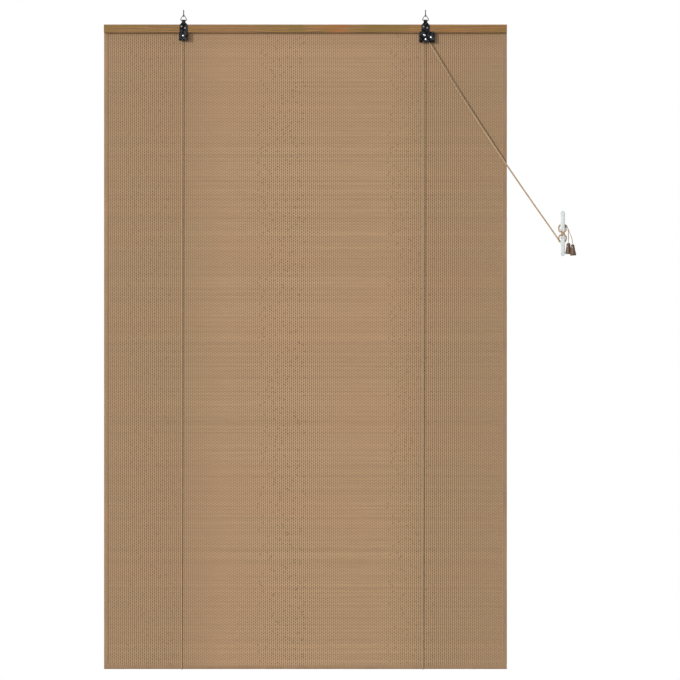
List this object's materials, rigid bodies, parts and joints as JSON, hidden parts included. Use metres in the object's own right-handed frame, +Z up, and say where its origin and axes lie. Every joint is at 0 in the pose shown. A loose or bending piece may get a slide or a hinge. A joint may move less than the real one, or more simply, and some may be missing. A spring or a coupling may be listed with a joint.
{
  "type": "bamboo roll-up blind",
  "caption": "Roll-up window blind of woven split bamboo on a wooden headrail, hung from ceiling hooks, with lift cords, a cam cord lock, a wall cleat and wooden tassels.",
  "frame": {"origin": "half way between the two ceiling hooks, where their screw shanks meet the ceiling", "axes": "+X to the right seen from the room, +Y towards the wall behind the blind, +Z up along the hooks' screw shanks"},
  "size_m": [1.1719, 0.0611, 1.6385],
  "materials": {
    "galvanised": "dull zinc",
    "black_metal": "satin black",
    "nail_metal": "satin",
    "rivet_metal": "bright nickel",
    "nylon": "smooth",
    "slat_wood": "lightly oiled",
    "bamboo": "raw, split",
    "edge_binding": "matt woven",
    "lift_cord": "matt braid",
    "cleat_plastic": "milky, translucent",
    "tassel_wood": "stained brown"
  },
  "bodies": {
    "hung_fittings": {"hook_left": "galvanised", "hook_right": "galvanised", "ring_left": "galvanised", "ring_right": "galvanised", "cleat": "cleat_plastic", "cleat_screws": "rivet_metal", "cleat_winding": "lift_cord", "cord_left_diagonal": "lift_cord", "cord_right_diagonal": "lift_cord", "cord_left_tail": "lift_cord", "cord_right_tail": "lift_cord", "tassel_left": "tassel_wood", "tassel_right": "tassel_wood"},
    "head": {"front_slat": "slat_wood", "back_slat": "slat_wood", "slat_nails": "galvanised", "hanger_plate_left": "black_metal", "hanger_plate_right": "black_metal", "plate_nails": "nail_metal", "pulley_housing_left": "black_metal", "lock_housing_right": "black_metal", "rivet_pulley_left": "rivet_metal", "rivet_guide": "rivet_metal", "rivet_lock_roller": "rivet_metal", "rivet_cam": "rivet_metal", "cord_staples": "galvanised", "woven_mat": "bamboo", "edge_tape_left": "edge_binding", "edge_tape_right": "edge_binding", "cord_left_front": "lift_cord", "cord_left_back": "lift_cord", "cord_left_top": "lift_cord", "cord_right_front": "lift_cord", "cord_right_back": "lift_cord", "cord_right_top": "lift_cord"},
    "lift_loops": {"cord_left_loop": "lift_cord", "cord_right_loop": "lift_cord"},
    "bottom_roll": {"bottom_rod": "slat_wood", "bottom_hem": "bamboo"},
    "pulley_left_wheel": {"pulley_left": "nylon"},
    "guide_wheel": {"guide_roller": "nylon"},
    "lock_wheel": {"lock_roller": "nylon"},
    "cam": {"lock_cam": "rivet_metal"}
  },
  "joints": [
    {"name": "head_swing", "type": "hinge", "parent": "hung_fittings", "child": "head", "pos_m": [0, 0, -0.02], "axis": [-1, 0, 0], "range_deg": [0, 40], "deforming": ["cord_left_diagonal", "cord_right_diagonal"]},
    {"name": "lift", "type": "slide", "parent": "head", "child": "lift_loops", "axis": [0, 0, 1], "range_m": [0, 1.5], "deforming": ["woven_mat", "edge_tape_left", "edge_tape_right", "cord_left_front", "cord_right_front", "cord_left_back", "cord_right_back"]},
    {"name": "roll_turn", "type": "hinge", "parent": "lift_loops", "child": "bottom_roll", "pos_m": [0, 0.01695, -1.624], "axis": [-1, 0, 0], "continuous": true},
    {"name": "pulley_left_turn", "type": "hinge", "parent": "head", "child": "pulley_left_wheel", "pos_m": [-0.3014, 0.0052, -0.0578], "axis": [0, 1, 0], "continuous": true},
    {"name": "guide_roller_turn", "type": "hinge", "parent": "head", "child": "guide_wheel", "pos_m": [0.2978, 0.0042, -0.0568], "axis": [0, 1, 0], "continuous": true},
    {"name": "lock_roller_turn", "type": "hinge", "parent": "head", "child": "lock_wheel", "pos_m": [0.3, 0.0042, -0.0667], "axis": [0, 1, 0], "continuous": true},
    {"name": "cam_turn", "type": "hinge", "parent": "head", "child": "cam", "pos_m": [0.3134, 0.0042, -0.0618], "axis": [0, -1, 0], "range_deg": [0, 35]}
  ],
  "couplings": [
    {"joint": "roll_turn", "follows": "lift", "rad_per_m": 52.36},
    {"joint": "pulley_left_turn", "follows": "lift", "rad_per_m": 571.43},
    {"joint": "guide_roller_turn", "follows": "lift", "rad_per_m": 500},
    {"joint": "lock_roller_turn", "follows": "lift", "rad_per_m": 454.55}
  ]
}
